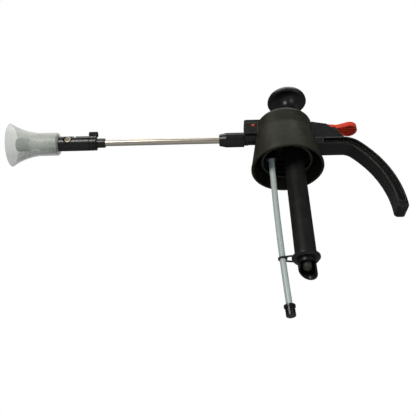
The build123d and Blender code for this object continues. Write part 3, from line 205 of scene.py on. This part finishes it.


# %% [markdown]
# ## The cap, the handle and the black fittings
# The cap is injection-moulded polypropylene, dyed a warm olive black. Polypropylene is soft
# and waxy, so it reads as satin and a little paler than the handle. The handle is
# glass-filled nylon with a fine spark-eroded grain, nearly black. The fittings are smoother
# ABS and the pump's barrel is a duller one. The knob has the shallowest grain, and the
# lamps show on it as soft patches of light.

# %% Black plastics
# The cap's sharp edges get a painted highlight in the pale scuff shade, over edge_mm.
cap_plastic = moulded(
    "polypropylene_olive_black_satin", ("#1c1c16", "#212119", "#28281f"), (0.38, 0.50),
    grain_mm=0.5, grain_depth_mm=0.012, scuff_and_edge_highlight_shade="#57574b", scuff_amount=0.06, edge_mm=0.6,
    **{"IOR": 1.49, "Specular IOR Level": 0.08},
)
# The handle's pale scuff shade mostly paints highlight lines along its channel lips, over edge_mm.
handle_plastic = moulded(
    "glass_filled_nylon_black_grained", ("#0c0c0c", "#101010", "#151514"), (0.34, 0.46),
    grain_mm=0.7, grain_depth_mm=0.02, scuff_and_edge_highlight_shade="#7a7a76", scuff_amount=0.03, edge_mm=0.6,
    **{"IOR": 1.53, "Specular IOR Level": 0.2},
)
fitting_plastic = moulded(
    "abs_black_moulded_smooth", ("#0c0c0c", "#101011", "#141414"), (0.26, 0.36),
    grain_mm=0.9, grain_depth_mm=0.006, scuff_and_edge_highlight_shade="#252525", scuff_amount=0.20,
    **{"IOR": 1.54, "Specular IOR Level": 0.28},
)
knob_plastic = moulded(
    "abs_black_polished", ("#0a0a0b", "#0e0e0f", "#131313"), (0.32, 0.40),
    grain_mm=1.4, grain_depth_mm=0.003, scuff_and_edge_highlight_shade="#222222", scuff_amount=0.12,
    **{"IOR": 1.54, "Specular IOR Level": 0.3},
)
barrel_plastic = moulded(
    "abs_black_extruded_tube", ("#121211", "#161615", "#1b1b1a"), (0.46, 0.56),
    grain_mm=0.8, grain_depth_mm=0.008, scuff_and_edge_highlight_shade="#2a2a29", scuff_amount=0.30,
    **{"IOR": 1.50, "Specular IOR Level": 0.12},
)
lever_plastic = moulded(
    "abs_orange_red_glossy", ("#bc2a03", "#c93205", "#d43b09"), (0.30, 0.40),
    grain_mm=1.2, grain_depth_mm=0.006, scuff_and_edge_highlight_shade="#c84a24", scuff_amount=0.2, IOR=1.54,
)
acetal = moulded(
    "acetal_natural_white", ("#d8d6cc", "#dedcd3", "#e4e2da"), (0.34, 0.44),
    grain_mm=0.6, grain_depth_mm=0.01, scuff_and_edge_highlight_shade="#c9c6ba", scuff_amount=0.2, IOR=1.48,
)
nozzle_plastic = moulded(
    "acetal_blue_grey_moulded", ("#33475e", "#3b5069", "#455b75"), (0.36, 0.46),
    grain_mm=0.6, grain_depth_mm=0.01, scuff_and_edge_highlight_shade="#7c8b97", scuff_amount=0.25, IOR=1.48,
)
neck_plastic = moulded(
    "acetal_pale_lilac_grey", ("#b9bdc9", "#c6cad4", "#d2d5de"), (0.36, 0.46),
    grain_mm=0.6, grain_depth_mm=0.01, scuff_and_edge_highlight_shade="#989ca4", scuff_amount=0.3, IOR=1.48,
)
gauze_nylon = moulded(
    "nylon_gauze_dyed_black", ("#121212", "#181818", "#202020"), (0.45, 0.55),
    grain_mm=0.4, grain_depth_mm=0.01, scuff_and_edge_highlight_shade="#303030", scuff_amount=0.2, IOR=1.53,
)
print("cap and handle:", cap_plastic.name, handle_plastic.name)

# %% [markdown]
# ## Rubber
# Seals are nitrile rubber, black and dull with a dusty bloom. The little finger valve at the
# barrel's foot is softer and has gone olive grey. Its bloom has run in upright lines, so the
# pattern there is stretched along Z.

# %% Rubber
def rubber(name, shades, bloom, stretch=(1, 1, 1)):
    """Moulded rubber: dull, with a pale bloom in soft patches and a pebbled skin."""
    material, tree, place = start_material(name)
    patches = noise(tree, place, 3.0, detail=4.0, stretch=stretch)
    color = ramp(tree, patches, (0.3, shades[0]), (0.55, shades[1]), (0.75, bloom))
    pebble = noise(tree, place, 0.6, detail=2.0)
    skin = relief(tree, pebble, 0.4, 0.015)
    gloss = spread(tree, patches, 0.55, 0.72)
    finish_material(tree, {
        "Base Color": color, "Roughness": gloss, "Normal": skin,
        "IOR": 1.52, "Specular IOR Level": 0.35,
    })
    return material


seal_rubber = rubber("nitrile_rubber_black_bloomed", ("#101010", "#171717"), "#242424")
valve_rubber = rubber(
    "nitrile_rubber_olive_grey", ("#1d1d17", "#26261f"), "#38382f", stretch=(1, 1, 0.08),
)

# %% [markdown]
# ## Stainless steel and brass
# The lance is drawn stainless tube, polished along its length, so its scratches are long and
# thin and lie along X. The pump rod is the same stock standing upright. The brass is nickel
# plated, so it is pale, and it has worn and tarnished in patches.

# %% Metals
def drawn_steel(name, stretch):
    """Stainless steel with fine lines along the stretched axis."""
    material, tree, place = start_material(name)
    lines = noise(tree, place, 0.35, detail=2.0, stretch=stretch)
    color = ramp(tree, lines, (0.3, "#a59f92"), (0.5, "#b3ada1"), (0.7, "#bfbab0"))
    gloss = spread(tree, lines, 0.26, 0.36)
    skin = relief(tree, lines, 0.2, 0.001)
    finish_material(tree, {
        "Base Color": color, "Metallic": 1.0, "Roughness": gloss, "Normal": skin,
    })
    return material


lance_steel = drawn_steel("stainless_steel_drawn_lengthwise", (0.002, 1, 1))
rod_steel = drawn_steel("stainless_steel_ground_upright", (1, 1, 0.002))
brass, tree, place = start_material("brass_nickel_plated_worn")
tarnish = noise(tree, place, 1.6, detail=5.0)
brass_color = ramp(tree, tarnish, (0.35, "#8c8674"), (0.5, "#b5af9e"), (0.65, "#dad7cc"))
turning = noise(tree, place, 0.5, detail=4.0)
finish_material(tree, {
    "Base Color": brass_color, "Metallic": 1.0, "Roughness": spread(tree, turning, 0.25, 0.45),
    "Normal": relief(tree, tarnish, 0.5, 0.03),
})
print("metals:", lance_steel.name, rod_steel.name, brass.name)

# %% [markdown]
# ## Milky plastics
# The dip tube is polyethylene and the shroud is polypropylene, both without dye. The tube is
# thick enough to scatter light inside, so part of its skin transmits and the rest stays a
# pale body colour. The shroud's wall is thin and what lies behind it shows almost sharp, so
# it is drawn as a part-covering veil instead, a little denser where the flow streaks are.

# %% Milky plastics
def milky(name, shades, streaks, ripple_mm, **sockets):
    """Undyed plastic with faint flow streaks. An Alpha is a (low, high) pair that they vary."""
    material, tree, place = start_material(name)
    flow = noise(tree, place, 6.0, detail=3.0, stretch=streaks)
    color = ramp(tree, flow, (0.3, shades[0]), (0.7, shades[1]))
    ripple = noise(tree, place, 1.5, detail=2.0, stretch=streaks)
    skin = relief(tree, ripple, 0.3, ripple_mm)
    if "Alpha" in sockets:
        low, high = sockets["Alpha"]
        sockets["Alpha"] = spread(tree, flow, low, high)
    gloss = spread(tree, ripple, 0.34, 0.44)
    finish_material(tree, {"Base Color": color, "Roughness": gloss, "Normal": skin, **sockets})
    return material


tubing = milky(
    "polyethylene_tube_milky", ("#b0bebb", "#c2cecb"), (1, 1, 0.05), 0.006,
    **{"Transmission Weight": 0.3, "IOR": 1.51},
)
shroud_plastic = milky(
    "polypropylene_undyed_veil", ("#a3aaa3", "#b1b8b1"), (0.2, 1, 1), 0.003,
    **{"Alpha": (0.40, 0.48), "IOR": 1.49},
)

# %% [markdown]
# ## Dressing the solids
# Each CAD solid takes one of the finishes above. The record's own material slots say what a
# node is made of, so the list goes by slot, and a few nodes are picked out by name.

# %% Give each solid its finish
by_slot = {
    "cap_plastic": cap_plastic, "handle_plastic": handle_plastic,
    "fitting_plastic": fitting_plastic, "knob_plastic": knob_plastic,
    "barrel_plastic": barrel_plastic, "natural_acetal": acetal, "lever_plastic": lever_plastic,
    "stainless_steel": rod_steel, "brass": brass, "seal_rubber": seal_rubber,
    "valve_rubber": valve_rubber, "clear_tubing": tubing, "strainer_gauze": gauze_nylon,
    "shroud_plastic": shroud_plastic, "neck_plastic": neck_plastic,
    "nozzle_plastic": nozzle_plastic,
}
by_node = {"lance_tube": lance_steel}
for entry in frame["record"]["subparts"]:
    node = nodes[entry["node"]]
    finish = by_node.get(entry["node"], by_slot[entry["material_slot"]])
    node.data.materials.clear()
    node.data.materials.append(finish)

# %% [markdown]
# ## Growing pieces with Geometry Nodes
# A thread is one ridge wound round a collar, and gauze is one wire repeated. Both follow a
# rule, so a node tree makes them from a few named sizes. The tree ends by turning instances
# into real faces and giving them a finish. The result is then copied into a plain mesh, since
# the rest of the work needs ordinary meshes that stand at the origin.

# %% Node tree helpers
def new_tree(name, **sizes):
    """An empty geometry tree with one float input for each named size.

    Returns the tree, its input node, and the sizes by the inputs' identifiers.
    """
    tree = bpy.data.node_groups.new(name, "GeometryNodeTree")
    identifiers = {}
    for label in sizes:
        socket = tree.interface.new_socket(label, in_out="INPUT", socket_type="NodeSocketFloat")
        identifiers[label] = socket.identifier
    tree.interface.new_socket("Geometry", in_out="OUTPUT", socket_type="NodeSocketGeometry")
    group_in = add(tree, "NodeGroupInput")
    return tree, group_in, {identifiers[label]: value for label, value in sizes.items()}


def grow(name, tree, geometry, values, finish, place):
    """Ends the tree, runs it on an empty mesh, and returns the result as a plain object."""
    real = add(tree, "GeometryNodeRealizeInstances", {"Geometry": geometry})
    dressed = add(tree, "GeometryNodeSetMaterial", {
        "Geometry": real.outputs["Geometry"], "Material": finish,
    })
    add(tree, "NodeGroupOutput", {"Geometry": dressed.outputs["Geometry"]})
    holder = bpy.data.objects.new(name + "_holder", bpy.data.meshes.new(name + "_holder"))
    bpy.context.scene.collection.objects.link(holder)
    modifier = holder.modifiers.new("grow", "NODES")
    modifier.node_group = tree
    for identifier, value in values.items():
        modifier[identifier] = value
    graph = bpy.context.evaluated_depsgraph_get()
    mesh = bpy.data.meshes.new_from_object(holder.evaluated_get(graph))
    holder.modifiers.clear()
    bpy.data.objects.remove(holder)
    mesh.transform(place)
    mesh.shade_smooth()
    piece = bpy.data.objects.new(name, mesh)
    bpy.context.scene.collection.objects.link(piece)
    print(name, "faces:", len(mesh.polygons))
    return piece


# %% [markdown]
# ## The neck thread
# The CAD collar is a plain cylinder at the thread's mean size. The real one has a coarse
# rounded ridge, a little over three turns. A spiral with the thread's radius carries a small
# round profile.

# %% Neck thread
THREAD_RADIUS = 29.25 * MM
THREAD_TURNS = 3.25
THREAD_PITCH = 6.0 * MM
THREAD_START = 3.0 * MM
RIDGE_RADIUS = 1.1 * MM
tree, sizes, values = new_tree(
    "wound_ridge", Radius=THREAD_RADIUS, Turns=THREAD_TURNS,
    Height=THREAD_TURNS * THREAD_PITCH, Ridge=RIDGE_RADIUS,
)
spiral = add(tree, "GeometryNodeCurveSpiral", {
    "Resolution": 64, "Rotations": sizes.outputs["Turns"], "Height": sizes.outputs["Height"],
    "Start Radius": sizes.outputs["Radius"], "End Radius": sizes.outputs["Radius"],
})
profile = add(tree, "GeometryNodeCurvePrimitiveCircle", {
    "Resolution": 10, "Radius": sizes.outputs["Ridge"],
})
ridge = add(tree, "GeometryNodeCurveToMesh", {
    "Curve": spiral.outputs["Curve"], "Profile Curve": profile.outputs["Curve"], "Fill Caps": True,
})
thread_place = Matrix.Translation((0, 0, THREAD_START))
thread = grow(
    "neck_thread_ridge", tree, ridge.outputs["Mesh"], values, handle_plastic, thread_place,
)
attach(thread, "pump_head")

# %% [markdown]
# ## The strainer's gauze
# Behind the strainer's slots sits a sleeve of woven nylon. A cylinder's grid of edges gives
# the two directions of the weave, and each edge line becomes a thin wire. The real weave is
# finer than the eye sees here, so the wires are drawn about three times as coarse.

# %% Strainer gauze
DIP_BEND_RADIUS = 3000.0 * MM
DIP_BEND_START = -41.0 * MM
DIP_TIP = -192.6 * MM
dip_lean = (DIP_BEND_START - DIP_TIP) / DIP_BEND_RADIUS
gauze_low, gauze_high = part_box("strainer_mesh")
gauze_middle = (gauze_low + gauze_high) / 2
GAUZE_RADIUS = 3.95 * MM
GAUZE_LENGTH = 7.4 * MM
WIRE_RADIUS = 0.14 * MM
WIRES_ALONG = 36
WIRE_ROWS = 14
tree, sizes, values = new_tree(
    "wire_sleeve", Radius=GAUZE_RADIUS, Length=GAUZE_LENGTH, Wire=WIRE_RADIUS,
)
sleeve = add(tree, "GeometryNodeMeshCylinder", {
    "Vertices": WIRES_ALONG, "Side Segments": WIRE_ROWS,
    "Radius": sizes.outputs["Radius"], "Depth": sizes.outputs["Length"],
}, fill_type="NONE")
weave = add(tree, "GeometryNodeMeshToCurve", {"Mesh": sleeve.outputs["Mesh"]})
wire = add(tree, "GeometryNodeCurvePrimitiveCircle", {
    "Resolution": 4, "Radius": sizes.outputs["Wire"],
})
wires = add(tree, "GeometryNodeCurveToMesh", {
    "Curve": weave.outputs["Curve"], "Profile Curve": wire.outputs["Curve"], "Fill Caps": True,
})
lean = Matrix.Translation(gauze_middle) @ Matrix.Rotation(-dip_lean, 4, "Y")
gauze = grow("strainer_gauze_wires", tree, wires.outputs["Mesh"], values, gauze_nylon, lean)
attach(gauze, "pump_head")
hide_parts("strainer_mesh")

# %% [markdown]
# ## Floor and backdrop light
# The piece is held up by its neck and seen from below, so the floor lies well under the
# camera. The world is a plain pale studio. The piece is nearly black, and a bright room
# would wash it out, so the world looks white to the camera but lights the piece only a
# little. The floor gets the same treatment: it glows for the camera alone.

# %% Floor and world
FLOOR_HEIGHT = -0.75
FLOOR_SIZE = 60.0
FLOOR_GLOW = 0.5
PAINT_PATCH_MM = 400.0
SEEN_STRENGTH = 1.0
LIT_STRENGTH = 0.19
bpy.ops.mesh.primitive_plane_add(size=FLOOR_SIZE, location=(0, 0, FLOOR_HEIGHT))
floor = bpy.context.object
floor.name = "studio_floor"
paint, tree, place = start_material("painted_floor_pale")
paint_patches = noise(tree, place, PAINT_PATCH_MM)
paint_color = ramp(tree, paint_patches, (0.3, "#f1f1ef"), (0.7, "#f6f6f5"))
camera_ray = add(tree, "ShaderNodeLightPath").outputs["Is Camera Ray"]
glow = add(tree, "ShaderNodeMath", {0: camera_ray, 1: FLOOR_GLOW}, operation="MULTIPLY")
finish_material(tree, {
    "Base Color": paint_color, "Roughness": 0.8,
    "Emission Color": paint_color, "Emission Strength": glow.outputs["Value"],
})
floor.data.materials.append(paint)

world = bpy.data.worlds.new("pale_studio")
bpy.context.scene.world = world
world.use_nodes = True
tree = world.node_tree
tree.nodes.clear()
seen = add(tree, "ShaderNodeBackground", {"Color": linear("#ffffff"), "Strength": SEEN_STRENGTH})
lit = add(tree, "ShaderNodeBackground", {"Color": linear("#f4f6fa"), "Strength": LIT_STRENGTH})
path = add(tree, "ShaderNodeLightPath")
either = add(tree, "ShaderNodeMixShader", {"Fac": path.outputs["Is Camera Ray"]})
tree.links.new(lit.outputs["Background"], either.inputs[1])
tree.links.new(seen.outputs["Background"], either.inputs[2])
add(tree, "ShaderNodeOutputWorld", {"Surface": either.outputs["Shader"]})
bpy.context.scene.view_settings.view_transform = "Standard"

# %% [markdown]
# ## Lamps
# Three soft boxes. The key stands low in front on the left and draws the pale line along the
# lance and the glint under the knob. A wide fill on the right keeps the handle readable, and
# a top light rims the dome and the joint.

# %% Lamps
def softbox(name, position, target, width, height, watts, tint):
    """A rectangular area lamp at a place, aimed at a target, both in metres."""
    lamp = bpy.data.lights.new(name, "AREA")
    lamp.shape = "RECTANGLE"
    lamp.size = width
    lamp.size_y = height
    lamp.energy = watts
    lamp.color = linear(tint)[:3]
    held = bpy.data.objects.new(name, lamp)
    bpy.context.scene.collection.objects.link(held)
    held.location = position
    aim = Vector(target) - Vector(position)
    held.rotation_euler = aim.to_track_quat("-Z", "Y").to_euler()


softbox(
    "key", position=(-0.45, -0.75, 0.10), target=(0, 0, 0.03),
    width=0.35, height=0.25, watts=6.0, tint="#fffaf2",
)
softbox(
    "fill", position=(0.65, -0.60, -0.15), target=(0.02, 0, 0),
    width=0.5, height=0.5, watts=2.5, tint="#f2f6ff",
)
softbox(
    "top", position=(-0.05, -0.15, 0.85), target=(-0.05, 0, 0),
    width=0.9, height=0.5, watts=5.0, tint="#ffffff",
)
print("lamps:", len(bpy.data.lights))

# %% [markdown]
# ## The camera
# It looks up at the piece from thirty-five degrees below, a touch rolled. The three angles
# are turned into the camera's own right, up and back directions.

# %% Camera
CAMERA_PLACE = Vector((-94.8, -569.6, -462.6)) * MM
CAMERA_ELEVATION = radians(-34.815)
CAMERA_AZIMUTH = radians(0.306)
CAMERA_ROLL = radians(-1.125)
LENS = 51.62
SENSOR_WIDTH = 36.0
back = Vector((
    sin(CAMERA_AZIMUTH) * cos(CAMERA_ELEVATION),
    -cos(CAMERA_AZIMUTH) * cos(CAMERA_ELEVATION),
    sin(CAMERA_ELEVATION),
))
level_right = (-back).cross(Vector((0, 0, 1))).normalized()
level_up = level_right.cross(-back)
right = level_right * cos(CAMERA_ROLL) + level_up * sin(CAMERA_ROLL)
up = level_up * cos(CAMERA_ROLL) - level_right * sin(CAMERA_ROLL)
camera_data = bpy.data.cameras.new("camera")
camera_data.lens = LENS
camera_data.sensor_width = SENSOR_WIDTH
camera = bpy.data.objects.new("camera", camera_data)
bpy.context.scene.collection.objects.link(camera)
turned = Matrix((right, up, back)).transposed().to_4x4()
camera.matrix_world = Matrix.Translation(CAMERA_PLACE) @ turned
bpy.context.scene.camera = camera
